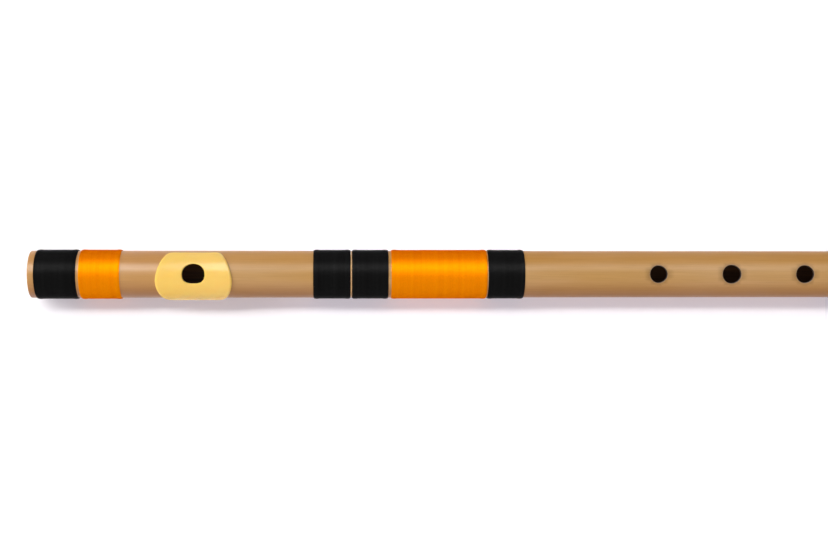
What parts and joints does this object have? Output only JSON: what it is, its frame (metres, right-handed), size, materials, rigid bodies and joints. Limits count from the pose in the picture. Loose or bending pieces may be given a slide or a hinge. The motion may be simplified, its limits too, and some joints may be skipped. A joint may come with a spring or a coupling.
{
  "type": "bansuri",
  "caption": "Two-piece transverse bamboo flute with a lip plate, open finger holes, thread bindings and a turning, pull-apart joint.",
  "frame": {"origin": "on the ground under the middle of the resting flute's bounding box", "axes": "+X along the flute towards its foot, +Z out of the mouth hole and the finger holes, +Y away from the player's chin"},
  "size_m": [0.595, 0.0254, 0.0254],
  "materials": {
    "bamboo": "satin lacquer",
    "cream_plastic": "polished",
    "cork": "matt",
    "brass": "drawn",
    "black_thread": "close-wound thread",
    "orange_thread": "close-wound silky thread"
  },
  "bodies": {
    "head_section": {"head_tube": "bamboo", "lip_plate": "cream_plastic", "head_end_binding_black": "black_thread", "head_end_binding_orange": "orange_thread", "upper_joint_binding_black": "black_thread"},
    "stopper": {"stopper_cork": "cork"},
    "connector": {"connector_sleeve": "brass"},
    "body_section": {"body_tube": "bamboo", "lower_joint_binding_black": "black_thread", "centre_binding_orange": "orange_thread", "centre_binding_black": "black_thread", "mid_hand_binding_black": "black_thread", "foot_group_binding_black_1": "black_thread", "foot_group_binding_orange": "orange_thread", "foot_group_binding_black_2": "black_thread", "foot_end_binding_orange": "orange_thread", "foot_end_binding_black": "black_thread"}
  },
  "joints": [
    {"name": "joint_slide", "type": "slide", "parent": "head_section", "child": "connector", "axis": [1, 0, 0], "range_m": [0, 0.0225]},
    {"name": "section_turn", "type": "hinge", "parent": "connector", "child": "body_section", "pos_m": [-0.13785, 0.00026, 0.01245], "axis": [1, 0, 0], "continuous": true},
    {"name": "stopper_slide", "type": "slide", "parent": "head_section", "child": "stopper", "axis": [1, 0, 0], "range_m": [-0.008, 0.004]}
  ]
}
